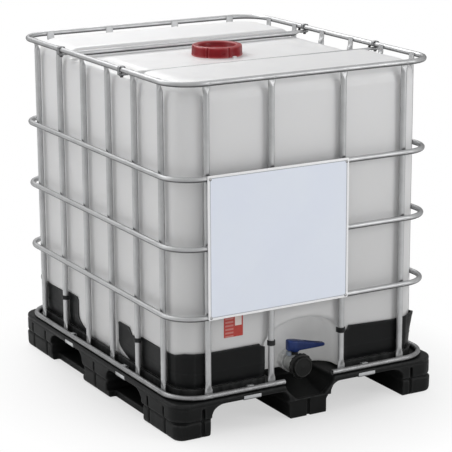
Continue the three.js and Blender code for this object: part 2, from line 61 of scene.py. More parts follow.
OUT = {"front": Vector((0, -1, 0)), "rear": Vector((0, 1, 0)),
       "left": Vector((-1, 0, 0)), "right": Vector((1, 0, 0))}
HOOPS = ["top_hoop", "upper_hoop", "middle_hoop", "lower_hoop", "base_hoop"]
HOOP_LOW, HOOP_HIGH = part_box("top_hoop")
HALF_FLAT = (HOOP_HIGH.z - HOOP_LOW.z) / 2
TUBE = HALF_FLAT / math.cos(math.pi / 8)             # the frame's hoops have eight sides
CAGE_X = HOOP_HIGH.x - HALF_FLAT                     # the hoops' centre line
CAGE_Y = HOOP_HIGH.y - HALF_FLAT
CAGE_R = 102 * MM
HOOP_Z = {n: middle(n, 2) for n in HOOPS}
UPRIGHTS = sorted(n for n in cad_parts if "upright" in n)
UPRIGHT_R = 10 * MM
UPRIGHT_INSET = 14.7 * MM                            # from the hoops' centre line to an upright's
CAGE_CLAMPS = sorted(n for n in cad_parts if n.startswith("cage_clamp"))
TANK_LOW, TANK_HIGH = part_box("tank")
TANK_X, TANK_Y = TANK_HIGH.x, TANK_HIGH.y
TANK_R = 80 * MM
PALLET_X, PALLET_Y, PALLET_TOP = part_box("pallet")[1]
NECK = centre("lid_gasket")
NECK_FOOT = Vector((0, NECK.y, 0))
OUTLET = Vector((0, 0, middle("outlet_cap", 2)))
STEM_Y = middle("valve_disc", 1)


def beside(out, depth, along, z=0.0, half_x=CAGE_X, half_y=CAGE_Y):
    """A point at a depth inside the cage's centre line, on the side that faces out."""
    if out.x:
        return Vector((out.x * (half_x - depth), along, z))
    return Vector((along, out.y * (half_y - depth), z))


def clamp_place(node):
    """The side that a cage clamp sits on, and how far along it."""
    out = OUT[node.split("_")[2]]
    return out, centre(node)[1 if out.x else 0]


def smooth(t):
    t = min(max(t, 0.0), 1.0)
    return t * t * (3 - 2 * t)


def mix(a, b, t):
    return a + (b - a) * t


def hump(distance, width, power=2):
    """One in the middle, falling to nothing over about two widths."""
    return math.exp(-(distance / width) ** power)


def squared(value, power):
    """Turns a circle's sine or cosine into that of a rounded square."""
    return math.copysign(abs(value) ** power, value)


def from_mm(pairs, base=0.0):
    """Pairs in millimetres as metres, the second number measured from a base in metres."""
    return [(a * MM, base + b * MM) for a, b in pairs]


def arc(start, sweep, steps):
    """Cosine and sine along an arc given in degrees."""
    angles = [math.radians(start + sweep * i / steps) for i in range(steps + 1)]
    return [(math.cos(a), math.sin(a)) for a in angles]


def circle(steps):
    return arc(0, 360, steps)[:-1]


# ---- mesh building ----
@contextmanager
def editing(mesh):
    bm = bmesh.new()
    bm.from_mesh(mesh)
    yield bm
    bm.to_mesh(mesh)
    bm.free()


def place_new(name, data):
    obj = bpy.data.objects.new(name, data)
    bpy.context.scene.collection.objects.link(obj)
    return obj


def make(name, verts, faces, sharp=35):
    mesh = bpy.data.meshes.new(name)
    mesh.from_pydata([tuple(v) for v in verts], [], faces)
    mesh.validate()
    with editing(mesh) as bm:
        bmesh.ops.remove_doubles(bm, verts=bm.verts, dist=2e-6)
        bmesh.ops.recalc_face_normals(bm, faces=bm.faces)
    return shade(place_new(name, mesh), sharp)


def shade(obj, sharp=35):
    mesh = obj.data
    mesh.polygons.foreach_set("use_smooth", [True] * len(mesh.polygons))
    mesh.set_sharp_from_angle(angle=math.radians(sharp))
    return obj


def loft(name, rings, joined=False, sharp=35, closed=True, first_cap=True):
    """A skin over rings of equal length, capped at the ends or joined end to end."""
    n = len(rings[0])
    verts = [p for ring in rings for p in ring]
    faces = []
    for r in range(len(rings) if joined else len(rings) - 1):
        a, b = r * n, (r + 1) % len(rings) * n
        faces += [(a + i, a + (i + 1) % n, b + (i + 1) % n, b + i)
                  for i in range(n if closed else n - 1)]
    if not joined:
        last = (len(rings) - 1) * n
        faces += [tuple(range(n))] if first_cap else []
        faces.append(tuple(last + i for i in range(n)))
    return make(name, verts, faces, sharp)


def lathe(name, profile, steps, place, axis="z", sharp=35, radius_of=None):
    """A profile of (radius, height) turned about +Z, or about -Y with height measured to -Y."""
    rings = []
    for k in range(steps):
        angle = 2 * math.pi * k / steps
        ring = []
        for r, h in profile:
            if radius_of:
                r = radius_of(r, h, angle)
            p = Vector((r * math.cos(angle), r * math.sin(angle), h))
            if axis == "y":
                p = Vector((p.x, -p.z, p.y))
            ring.append(p + place)
        rings.append(ring)
    return loft(name, rings, joined=True, sharp=sharp, closed=profile[0][0] > 1e-6)


def rod(name, radius, low, high, steps, place, axis="z"):
    return lathe(name, [(0, low), (radius, low), (radius, high), (0, high)], steps, place, axis)


def prism(name, outline, low, high, axis="z", sharp=35):
    """A flat outline pushed along an axis: z takes (x, y), y takes (x, z), x takes (y, z)."""
    place = {"z": lambda u, v, w: (u, v, w), "y": lambda u, v, w: (u, w, v),
             "x": lambda u, v, w: (w, u, v)}[axis]
    return loft(name, [[place(u, v, w) for u, v in outline] for w in (low, high)], sharp=sharp)


def block(x0, x1, y0, y1, z0, z1):
    """A box to cut with."""
    (x0, x1), (y0, y1) = sorted((x0, x1)), sorted((y0, y1))
    return prism("cut", [(x0, y0), (x1, y0), (x1, y1), (x0, y1)], z0, z1)


def round_rect(hx, hy, r, steps=6):
    corners = ((1, -1, -90), (1, 1, 0), (-1, 1, 90), (-1, -1, 180))
    return [(sx * (hx - r) + r * c, sy * (hy - r) + r * s)
            for sx, sy, start in corners for c, s in arc(start, 90, steps)]


def modify(obj, kind, **settings):
    """Adds a modifier and applies it."""
    mod = obj.modifiers.new(kind.lower(), kind)
    for key, value in settings.items():
        setattr(mod, key, value)
    graph = bpy.context.evaluated_depsgraph_get()
    mesh = bpy.data.meshes.new_from_object(obj.evaluated_get(graph))
    obj.modifiers.clear()
    obj.data = mesh


def combine(obj, others, operation):
    for other in others:
        modify(obj, "BOOLEAN", operation=operation, object=other, solver="EXACT")
        bpy.data.objects.remove(other)


def bevel(obj, width, segments=2, angle=30, sharp=35):
    modify(obj, "BEVEL", width=width, segments=segments, limit_method="ANGLE",
           angle_limit=math.radians(angle))
    return shade(obj, sharp)


def join(name, objects):
    main = objects[0]
    with bpy.context.temp_override(active_object=main, object=main, selected_objects=objects,
                                   selected_editable_objects=objects):
        bpy.ops.object.join()
    main.name = name
    main.data.name = name
    return main


def soften(obj, voxel, passes):
    """Rounds every edge as moulded plastic has it: remesh on an even grid, then smooth."""
    modify(obj, "REMESH", mode="VOXEL", voxel_size=voxel, use_smooth_shade=True)
    modify(obj, "SMOOTH", factor=0.5, iterations=passes)
    shade(obj, 60)


# ---- materials ----
class Nodes:
    """A short way to write the node tree of a material or of the world."""

    def __init__(self, name, world=False):
        self.owner = (bpy.data.worlds if world else bpy.data.materials).new(name)
        self.owner.use_nodes = True
        self.tree = self.owner.node_tree
        self.shader = self.tree.nodes["Background" if world else "Principled BSDF"]
        where = self.add("ShaderNodeTexCoord").outputs
        self.coords = where["Generated" if world else "Object"]

    def add(self, kind, inputs=None, **settings):
        node = self.tree.nodes.new(kind)
        for key, value in settings.items():
            setattr(node, key, value)
        for key, value in (inputs or {}).items():
            self.put(node.inputs[key], value)
        return node

    def put(self, socket, value):
        if isinstance(value, bpy.types.NodeSocket):
            self.tree.links.new(value, socket)
        else:
            socket.default_value = value

    def set(self, **inputs):
        for key, value in inputs.items():
            self.put(self.shader.inputs[key.replace("_", " ")], value)

    def noise(self, scale, detail=4, roughness=0.55, stretch=(1, 1, 1)):
        where = self.add("ShaderNodeMapping", {"Vector": self.coords, "Scale": stretch}).outputs[0]
        return self.add("ShaderNodeTexNoise", {"Vector": where, "Scale": scale, "Detail": detail,
                                               "Roughness": roughness}).outputs["Fac"]

    def ramp(self, value, low, high, to_low=0, to_high=1):
        return self.add("ShaderNodeMapRange", {"Value": value, "From Min": low, "From Max": high,
                                               "To Min": to_low, "To Max": to_high}).outputs[0]

    def blend(self, amount, a, b):
        node = self.add("ShaderNodeMix", data_type="RGBA")
        self.put(node.inputs[0], amount)
        for socket, value in ((node.inputs[6], a), (node.inputs[7], b)):
            self.put(socket, (*value, 1) if isinstance(value, tuple) else value)
        return node.outputs[2]

    def math(self, operation, a, b=0.0):
        return self.add("ShaderNodeMath", {0: a, 1: b}, operation=operation).outputs[0]

    def times(self, a, b):
        return self.math("MULTIPLY", a, b)

    def xyz(self, vector=None):
        return self.add("ShaderNodeSeparateXYZ", {"Vector": vector or self.coords}).outputs

    def edges(self, low, high):
        point = self.add("ShaderNodeNewGeometry").outputs["Pointiness"]
        return self.ramp(point, low, high)

    def bump(self, *layers):
        """Layers of (height, strength, distance), each laid over the one before."""
        normal = None
        for value, strength, distance in layers:
            inputs = {"Height": value, "Strength": strength, "Distance": distance}
            if normal is not None:
                inputs["Normal"] = normal
            normal = self.add("ShaderNodeBump", inputs).outputs[0]
        self.set(Normal=normal)


def galvanised(name, tint, dark):
    """Zinc coated tube: faint crystal patches, cloudy gloss, a painted dark reflection along the
    rims and painted shade on the undersides.
    """
    m = Nodes(name)
    patches = m.add("ShaderNodeTexVoronoi", {"Vector": m.coords, "Scale": 140.0}).outputs["Color"]
    grey = m.add("ShaderNodeRGBToBW", {"Color": patches}).outputs[0]
    cloud = m.noise(14, 5)
    colour = m.blend(m.ramp(cloud, 0.3, 0.7), dark, tint)
    colour = m.blend(m.ramp(grey, 0.2, 0.8, 0.0, 0.12), colour, (0.66, 0.67, 0.68))
    # Painted dark reflection: the tube turns near black where its surface turns away from view.
    rim = m.add("ShaderNodeLayerWeight", {"Blend": 0.42}).outputs["Facing"]
    colour = m.blend(m.ramp(rim, 0.45, 0.98, 0.0, 0.75), colour, (0.05, 0.05, 0.052))
    # Painted shade: faces that look downwards darken towards near black.
    under = m.xyz(m.add("ShaderNodeNewGeometry").outputs["Normal"])["Z"]
    colour = m.blend(m.ramp(under, 0.0, -0.5, 0.0, 0.85), colour, (0.03, 0.03, 0.031))
    m.set(Base_Color=colour, Metallic=0.65, Roughness=m.ramp(cloud, 0.3, 0.7, 0.46, 0.36))
    m.bump((m.noise(900, 2), 0.06, 0.0003))
    return m.owner


def moulded(name, colour, worn, rough, grain, spec):
    """Moulded plastic or painted steel: fine grain, cloudy gloss and paler worn edges."""
    m = Nodes(name)
    cloud = m.noise(9, 6)
    scuff = m.noise(70, 3, 0.6, (1, 1, 0.25))
    base = m.blend(m.ramp(cloud, 0.35, 0.7, 0, 0.6), colour, worn)
    rub = m.times(m.edges(0.505, 0.56), m.ramp(scuff, 0.35, 0.65, 0.2, 1.0))
    pale = tuple(min(c * 2.6 + 0.03, 1) for c in worn)
    m.set(Base_Color=m.blend(m.times(rub, 0.7), base, pale), Specular_IOR_Level=spec,
          Roughness=m.ramp(cloud, 0.3, 0.7, rough - 0.06, rough + 0.08))
    m.bump((m.noise(grain, 3), 0.18, 0.0006), (scuff, 0.06, 0.001))
    return m.owner


def natural_plastic():
    """Unpigmented tank plastic, with painted shade that greys it towards the base and a painted
    glow that lightens the outlet recess.
    """
    m = Nodes("natural_plastic")
    place = m.xyz()
    # Painted shade: the colour runs from grey at the tank's foot to pale at its top, standing in
    # for light falling from above.
    rise = m.ramp(place["Z"], TANK_LOW.z, TANK_HIGH.z)
    flow = m.noise(3.2, 4, 0.5, (1, 1, 0.35))
    body = m.blend(rise, (0.60, 0.60, 0.60), (0.81, 0.81, 0.815))
    body = m.blend(m.ramp(flow, 0.35, 0.65, 0, 0.10), body, (0.74, 0.74, 0.73))
    m.set(Base_Color=body, Roughness=m.ramp(m.noise(22, 4), 0.3, 0.7, 0.30, 0.42),
          Subsurface_Weight=0.25, Subsurface_Scale=0.02, Subsurface_Radius=(1.0, 0.95, 0.88),
          Specular_IOR_Level=0.5, IOR=1.5)
    # Painted light: a faint white glow inside the outlet recess that lifts its shade.
    inside = m.ramp(place["Y"], -TANK_Y + 0.004, -TANK_Y + 0.05)
    inside = m.times(inside, m.ramp(place["Z"], 0.36, 0.30))
    inside = m.times(inside, m.ramp(m.math("ABSOLUTE", place["X"]), 0.20, 0.15))
    m.set(Emission_Color=(1, 1, 0.98, 1), Emission_Strength=m.times(inside, 0.12))
    m.bump((m.noise(260, 3), 0.10, 0.0006), (m.noise(11, 3), 0.20, 0.004))
    return m.owner


def red_plastic():
    m = Nodes("lid_red")
    cloud = m.noise(30, 4)
    base = m.blend(m.ramp(cloud, 0.35, 0.7), (0.20, 0.004, 0.008), (0.28, 0.006, 0.012))
    # Convex edges turn a paler pink: a painted highlight along the rim and the grip edges.
    m.set(Base_Color=m.blend(m.times(m.edges(0.51, 0.58), 0.8), base, (0.70, 0.20, 0.20)),
          Roughness=m.ramp(cloud, 0.3, 0.7, 0.26, 0.36), Specular_IOR_Level=0.30)
    m.bump((m.noise(500, 3), 0.12, 0.0005))
    return m.owner


def plate_coating():
    """A painted plate: pale blue inside a white rim, with a thin dull line between them."""
    m = Nodes("plate_coating")
    low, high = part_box("label_plate")
    place = m.xyz()

    def from_edge(axis, a, b):
        off = m.math("ABSOLUTE", m.math("SUBTRACT", place[axis], (a + b) / 2))
        return m.math("SUBTRACT", (b - a) / 2, off)

    inset = m.math("MINIMUM", from_edge("X", low.x, high.x), from_edge("Z", low.z, high.z))
    rim = m.math("LESS_THAN", inset, 7 * MM)
    line = m.times(m.math("LESS_THAN", inset, 10 * MM), m.math("SUBTRACT", 1.0, rim))
    cloud = m.noise(5, 5)
    colour = m.blend(m.ramp(cloud, 0.35, 0.7), (0.84, 0.89, 1.0), (0.86, 0.91, 1.0))
    colour = m.blend(line, colour, (0.50, 0.52, 0.57))
    m.set(Base_Color=m.blend(rim, colour, (0.98, 0.98, 0.99)),
          Roughness=m.ramp(m.noise(40, 3), 0.3, 0.7, 0.28, 0.38))
    m.bump((m.noise(700, 2), 0.05, 0.0003), (m.noise(4, 2), 0.15, 0.004))
    return m.owner


def label_film():
    """A plain red label: a pale panel in one corner and a few pale bars, with no lettering."""
    m = Nodes("label_film")
    low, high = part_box("tank_label")
    place = m.xyz()
    u = m.ramp(place["X"], low.x, high.x)
    v = m.ramp(place["Z"], low.z, high.z)

    def between(value, low, high):
        return m.times(m.math("GREATER_THAN", value, low), m.math("LESS_THAN", value, high))

    panel = m.times(between(u, 0.58, 0.93), between(v, 0.52, 0.95))
    wave = m.math("SINE", m.times(v, 37.0))
    bars = m.times(m.math("GREATER_THAN", wave, 0.0), between(u, 0.07, 0.50))
    pale = m.math("MAXIMUM", m.times(panel, 0.9), m.times(bars, 0.22))
    red = m.blend(m.ramp(m.noise(60, 3), 0.3, 0.7), (0.42, 0.03, 0.02), (0.50, 0.045, 0.03))
    m.set(Base_Color=m.blend(pale, red, (0.80, 0.74, 0.70)), Roughness=0.32)
    m.bump((m.noise(120, 3), 0.06, 0.0005))
    return m.owner


# Each surface is a slot of the frame's record and a material.
STEEL, SHADED_LOW_STEEL, BAND_STEEL, CLAMP_STEEL = [(slot, galvanised(*look)) for slot, *look in (
    ("galvanised_steel", "galvanised", (0.60, 0.605, 0.61), (0.50, 0.505, 0.51)),
    # a darker copy of the galvanised steel: painted shade for the base hoop low beside the pallet
    ("galvanised_steel", "galvanised_shaded_low", (0.36, 0.362, 0.365), (0.25, 0.252, 0.255)),
    ("dark_steel", "band_steel", (0.34, 0.345, 0.35), (0.20, 0.205, 0.21)),
    ("clamp_steel", "clamp_steel", (0.66, 0.67, 0.68), (0.54, 0.55, 0.56)))]
DARK_STEEL, BLACK, GUARD, VALVE_BLACK, BLUE, BLUE_GREY, PALE, RUBBER = [
    (slot, moulded(*look)) for slot, *look in (
    ("dark_steel", "dark_steel", (0.016, 0.016, 0.017), (0.035, 0.035, 0.037), 0.38, 600, 0.45),
    ("black_plastic", "pallet_black", (0.0045, 0.005, 0.005), (0.009, 0.0095, 0.0095),
     0.5, 380, 0.19),
    ("guard_plastic", "guard_black", (0.004, 0.0045, 0.0047), (0.007, 0.0075, 0.008),
     0.42, 240, 0.17),
    ("valve_plastic", "valve_black", (0.006, 0.0065, 0.0062), (0.012, 0.0125, 0.0115),
     0.40, 500, 0.24),
    ("lever_plastic", "lever_blue", (0.004, 0.016, 0.085), (0.007, 0.024, 0.12), 0.34, 500, 0.28),
    ("lever_plastic", "stop_blue_grey", (0.16, 0.19, 0.24), (0.20, 0.23, 0.28), 0.40, 500, 0.4),
    ("valve_plastic", "valve_pale", (0.42, 0.43, 0.42), (0.50, 0.51, 0.50), 0.42, 300, 0.4),
    ("seal_rubber", "seal_rubber", (0.01, 0.01, 0.01), (0.018, 0.018, 0.018), 0.75, 700, 0.25))]
NATURAL = ("natural_plastic", natural_plastic())
RED = ("lid_plastic", red_plastic())
PLATE = ("plate_paint", plate_coating())
LABEL = ("label_film", label_film())


def finish(obj, surface, *nodes, body="frame"):
    slot, material = surface
    obj.data.materials.clear()
    obj.data.materials.append(material)
    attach(obj, body)
    if nodes:
        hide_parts(*nodes)


# ---- cage ----
def hoop_stations(gap=0.0):
    """(point, outward direction, distance to a crossing) round a hoop, from the front middle."""
    stations = []
    straight = 24 * MM
    x, y, r = CAGE_X - CAGE_R, CAGE_Y - CAGE_R, CAGE_R
    crossings = {side: [] for side in OUT}
    for n in UPRIGHTS:
        side = n.split("_")[0]
        crossings[side].append(centre(n)[1 if OUT[side].x else 0])

    def run(side, start, end):
        count = max(int(abs(end - start) / straight), 1)
        marks = {start, end} | {mix(start, end, i / count) for i in range(count + 1)}
        for c in crossings[side]:
            marks |= {c + k * 2.5 * MM for k in range(-9, 10)}
        inside = sorted(v for v in marks if min(start, end) <= v <= max(start, end))
        if end < start:
            inside.reverse()
        for v in inside:
            near = min(abs(v - c) for c in crossings[side])
            stations.append((beside(OUT[side], 0, v), OUT[side], near))

    def turn(cx, cy, start):
        for c, s in arc(start, 90, 24)[1:-1]:
            out = Vector((c, s, 0))
            stations.append((Vector((cx, cy, 0)) + out * r, out, 1.0))

    run("front", gap, x)
    turn(x, -y, -90)
    run("right", -y, y)
    turn(x, y, 0)
    run("rear", x, -x)
    turn(-x, y, 90)
    run("left", y, -y)
    turn(-x, -y, 180)
    run("front", -x, -gap)
    return stations


def hoop_ring(at, out, near, z, radius=TUBE):
    """A tube section: pressed flat inside at a crossing, with a weld dimple outside."""
    inner = -radius + 2.4 * MM * hump(near, 8 * MM)
    outer = radius - 1.5 * MM * hump(near, 4.5 * MM)
    return [at + out * min(max(radius * c, inner), outer) + Vector((0, 0, z + radius * s))
            for c, s in circle(20)]


def build_hoops():
    full = hoop_stations()[:-1]
    for name in HOOPS[:-1]:
        rings = [hoop_ring(*s, HOOP_Z[name]) for s in full]
        finish(loft(name + "_tube", rings, joined=True, sharp=60), STEEL, name)
    z, gap, wall = HOOP_Z["base_hoop"], 92 * MM, 1.6 * MM
    stations = hoop_stations(gap)
    rings = [hoop_ring(*s, z) for s in stations]
    first = [hoop_ring(*stations[i], z, TUBE - wall) for i in (2, 1, 0)]
    last = [hoop_ring(*stations[i], z, TUBE - wall) for i in (-1, -2, -3)]
    # The base hoop takes the darker copy of the galvanised steel: painted shade.
    finish(loft("base_hoop_tube", first + rings + last, sharp=50), SHADED_LOW_STEEL, "base_hoop")


def upright_section(z, limit):
    """Points of an upright's section, with u along the hoop and n outwards from its axis."""
    top_pinch = smooth((z - (HOOP_Z["top_hoop"] - 36 * MM)) / (24 * MM))
    foot_pinch = smooth(((HOOP_Z["base_hoop"] + 38 * MM) - z) / (27 * MM))
    pinch = max(top_pinch, foot_pinch)
    near = min(abs(z - HOOP_Z[n]) for n in HOOPS[1:4])
    press = hump(near, 11 * MM, 4)
    half, thick = 14 * MM, 2.5 * MM
    points = []
    for c, s in circle(20):
        u, n = UPRIGHT_R * c, min(UPRIGHT_R * s, mix(UPRIGHT_R, limit, press))
        u *= 1 + 0.10 * press * (abs(n) < UPRIGHT_R * 0.8)
        fold = 1.4 * MM * hump(u, 3.5 * MM) * math.copysign(1, s)
        flat = limit - thick + thick * squared(s, 0.45) - (fold if n > 0 else 0)
        points.append((mix(u, half * c, pinch), mix(n, flat, pinch)))
    return points


def build_uprights():
    limit = UPRIGHT_INSET - TUBE - 0.1 * MM
    for name in UPRIGHTS:
        low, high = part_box(name)
        out = OUT[name.split("_")[0]]
        along = Vector((-out.y, out.x, 0))
        axis = beside(out, UPRIGHT_INSET, centre(name)[1 if out.x else 0])
        levels = {mix(low.z, high.z, i / 34) for i in range(35)} | {low.z, high.z}
        for n in HOOPS:
            levels |= {HOOP_Z[n] + k * 3 * MM for k in range(-14, 15)}
        rings = [[axis + along * u + out * n + Vector((0, 0, z))
                  for u, n in upright_section(z, limit)]
                 for z in sorted(levels) if low.z <= z <= high.z]
        finish(loft(name + "_tube", rings, sharp=60), STEEL, name)


def build_crossbars():
    radius, half = 9 * MM, 12 * MM
    for name in ("front_crossbar", "rear_crossbar"):
        low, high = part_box(name)
        y = middle(name, 1)
        axis_z = high.z - radius
        spots = [mix(low.x, high.x, i / 60) for i in range(61)]
        spots += [s * (high.x - k * 4 * MM) for k in range(16) for s in (-1, 1)]
        rings = []
        for x in sorted(set(spots)):
            pinch = smooth((abs(x) - (high.x - 56 * MM)) / (26 * MM))
            rings.append([])
            for c, s in circle(20):
                flat = high.z - 3.4 * MM + 3.3 * MM * squared(s, 0.45)
                rings[-1].append(Vector((x, y + mix(radius * c, half * c, pinch),
                                         mix(axis_z + radius * s, flat, pinch))))
        finish(loft(name + "_tube", rings, sharp=60), STEEL, name)


# ---- bent strips, bolts and screws ----
def rounded_path(points, radius, steps=5):
    """A flat path with its corners turned into arcs."""
    out = [Vector(points[0])]
    for before, here, after in zip(points, points[1:], points[2:]):
        here = Vector(here)
        a, b = Vector(before) - here, Vector(after) - here
        r = min(radius, a.length * 0.45, b.length * 0.45)
        a, b = a.normalized(), b.normalized()
        out += [here + a * r * (1 - i / steps) ** 2 + b * r * (i / steps) ** 2
                for i in range(steps + 1)]
    out.append(Vector(points[-1]))
    return out


def strip(name, path, thickness, half_width, out, at, edge):
    """A bent strip on one side of the cage. Its path is (outwards of the centre line, height)."""
    points = rounded_path(path, 4 * MM)
    rings = []
    for i, p in enumerate(points):
        d = (points[min(i + 1, len(points) - 1)] - points[max(i - 1, 0)]).normalized()
        side = Vector((-d.y, d.x)) * thickness / 2
        a, b = p + side, p - side
        rings.append([beside(out, -q.x, at + s * half_width, q.y)
                      for q, s in ((a, -1), (a, 1), (b, 1), (b, -1))])
    return bevel(loft(name, rings), edge, 2, 50)


def hex_bolt(name, at, out, across, head):
    """A hexagon head on a washer, standing out along a direction."""
    turn = Vector((0, 0, 1)).rotation_difference(out).to_matrix().to_4x4()
    thick = 1.2 * MM
    washer = rod(name + "_washer", across * 1.45, 0, thick, 24, Vector())
    cap = prism(name, [(across * c, across * s) for c, s in circle(6)], thick, thick + head)
    bevel(cap, 0.7 * MM, 2)
    bevel(washer, 0.3 * MM, 1)
    both = join(name, [cap, washer])
    both.data.transform(Matrix.Translation(at) @ turn)
    finish(both, DARK_STEEL)


def build_crossbar_clamps():
    hoop_z = HOOP_Z["top_hoop"]
    wrap = 10.8 * MM
    for end in ("front", "rear"):
        for side, sign in (("left", -1), ("right", 1)):
            node = f"{end}_crossbar_clamp_{side}"
            low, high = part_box(node)
            y = middle(node, 1)
            top, under = high.z - 1 * MM, low.z + 1 * MM
            path = [(-wrap, hoop_z - 5 * MM), (-wrap, top), (wrap, top), (wrap, under),
                    (-20 * MM, under)]
            band = strip(node + "_band", path, 2 * MM, 7 * MM, OUT[side], y, 0.4 * MM)
            finish(band, BAND_STEEL, node)
            hex_bolt(node + "_bolt", Vector((sign * CAGE_X, y, under - 1 * MM)),
                     Vector((0, 0, -1)), 5.5 * MM, 5 * MM)
            hex_bolt(node + "_pin",
                     Vector((sign * (CAGE_X - 16 * MM), y + 9 * MM, hoop_z - 8 * MM)),
                     Vector((-sign * 0.2, 1, 0.2)).normalized(), 4 * MM, 4 * MM)


def build_cage_clamps():
    t = 2.4 * MM
    for node in CAGE_CLAMPS:
        low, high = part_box(node)
        top, under = high.z - t / 2, low.z + t / 2
        place = clamp_place(node)
        wide = strip(node + "_strip", [(-11 * MM, top - 10 * MM), (-11 * MM, under),
                                       (14 * MM, under), (14 * MM, under + 13.6 * MM)],
                     t, 32 * MM, *place, 0.6 * MM)
        hook = strip(node + "_hook", [(3 * MM, top), (-11 * MM, top), (-11 * MM, top - 14 * MM)],
                     t, 11 * MM, *place, 0.6 * MM)
        finish(join(node + "_strip", [wide, hook]), CLAMP_STEEL, node)


# ---- tank ----
def screw(low, high, pitch, height):
    """A radius function that raises one right-handed thread between two heights."""
    def radius_of(r, h, angle):
        if not low < h < high:
            return r
        turn = (h / pitch - angle / (2 * math.pi)) % 1.0
        return r + height * max(0.0, math.sin(2 * math.pi * turn))
    return radius_of


def tank_draw(z):
    """How far the tank's wall is drawn in at a height, near its foot."""
    rise = min(max((z - TANK_LOW.z) / (72 * MM), 0), 1)
    return 34 * MM * (1 - math.sqrt(1 - (1 - rise) ** 2.6))


def build_tank():
    low, top = TANK_LOW.z, 1138 * MM
    rows = [(tank_draw(low + k * 6 * MM), low + k * 6 * MM) for k in range(13)]
    rows += from_mm([(0, -62), (3, -42), (9, -26), (19, -12), (34, -3), (60, 0)], top)
    tank = loft("tank_body", [
        [(x, y, z) for x, y in round_rect(TANK_X - d, TANK_Y - d, TANK_R - min(d, 14 * MM), 10)]
        for d, z in rows])

    front = -TANK_Y - 0.02
    half, spring, rise = 148 * MM, 240 * MM, 83 * MM
    arch = [(-half, 0.05), (half, 0.05)]
    arch += [(half * c, spring + rise * s) for c, s in arc(0, 180, 14)]
    recess = prism("cut", arch, front, -440 * MM, "y")
    plan = [(-170 * MM, front), (170 * MM, front), (158 * MM, -510 * MM)]
    for cx, start in ((88, 0), (-88, 90)):
        plan += [((cx + 62 * c) * MM, (-502 + 62 * s) * MM) for c, s in arc(start, 90, 6)]
    plan.append((-158 * MM, -510 * MM))
    combine(recess, [prism("cut", plan, 0.04, 0.4)], "INTERSECT")
    half, floor = 256 * MM, 1108 * MM
    valley = prism("cut", [(-half, floor), (half, floor), (half + 16 * MM, top + 0.02),
                           (-half - 16 * MM, top + 0.02)], -0.6, 0.6, "x")
    mouth = rod("cut", 69 * MM, 0.9, 1.2, 48, NECK_FOOT)
    bore = rod("cut", 22 * MM, 0.36, 0.5, 32, OUTLET, "y")
    spout = rod("add", 29.5 * MM, 0.43, 0.462, 40, OUTLET, "y")
    step = prism("add", from_mm([(-205, -10), (205, -10), (165, 5), (-165, 5)], floor),
                 -340 * MM, 340 * MM, "x")
    combine(tank, [recess, valley], "DIFFERENCE")
    combine(tank, [step, spout], "UNION")
    combine(tank, [mouth, bore], "DIFFERENCE")
    soften(tank, (5 if FINE else 9) * MM, 6)
    melt_recess(tank)
    shape_tank(tank)
    finish(tank, NATURAL, "tank")

    profile = [(69.3, 1098)] + [(73.2, 1098 + 0.875 * i) for i in range(46)]
    profile += [(72.6, 1138.6), (70.2, 1138.6), (69.3, 1137.6)]
    neck = lathe("tank_neck", from_mm(profile), 96, NECK_FOOT, sharp=70,
                 radius_of=screw(1113 * MM, 1137 * MM, 7 * MM, 1.3 * MM))
    finish(neck, NATURAL)


def melt_recess(tank):
    """Eases the front edge of the outlet recess into a broad soft curve."""
    with editing(tank.data) as bm:
        near = [v for v in bm.verts
                if v.co.y < -0.49 and abs(v.co.x) < 0.2 and 0.17 < v.co.z < 0.365]
        for _ in range(34 if FINE else 12):
            bmesh.ops.smooth_vert(bm, verts=near, factor=0.5, use_axis_x=True, use_axis_y=True,
                                  use_axis_z=True)


def shape_tank(tank):
    """The small hills and hollows that blow moulding leaves in large thin walls."""
    for v in tank.data.vertices:
        p = v.co
        wall_x = smooth((abs(p.x) - (TANK_X - 0.012)) / 0.010)
        wall_y = smooth((abs(p.y) - (TANK_Y - 0.012)) / 0.010)
        level = math.sin(math.pi * min(max((p.z - 0.2) / 0.85, 0), 1))
        slow = noise.noise(Vector((p.x * 2.2, p.y * 2.2, p.z * 1.8)))
        if wall_x > 0 and 0.18 < p.z < 1.08:
            bulge = (1.2 * level * math.cos(p.y * math.pi / 1.1) + 1.3 * slow) * MM
            p.x += math.copysign(bulge, p.x) * wall_x
        if wall_y > 0 and 0.36 < p.z < 1.08:
            bulge = (1.0 * level * math.cos(p.x * math.pi / 0.9) + 1.2 * slow) * MM
            p.y += math.copysign(bulge, p.y) * wall_y
        if p.z > 1.05:
            edge = smooth((abs(p.x) - 0.405) / 0.02) * smooth((p.z - 1.05) / 0.03)
            edge *= smooth((0.50 - abs(p.y)) / 0.03)
            pucker = noise.noise(Vector((1.7, p.y * 15, p.z * 9)))
            fold = hump(abs(p.y) - 0.262, 0.03)
            p.x -= math.copysign((4.2 * pucker + 3.0 * fold) * edge * MM, p.x)
            p.z += (1.5 * slow - 2.2 * abs(pucker) * edge) * MM


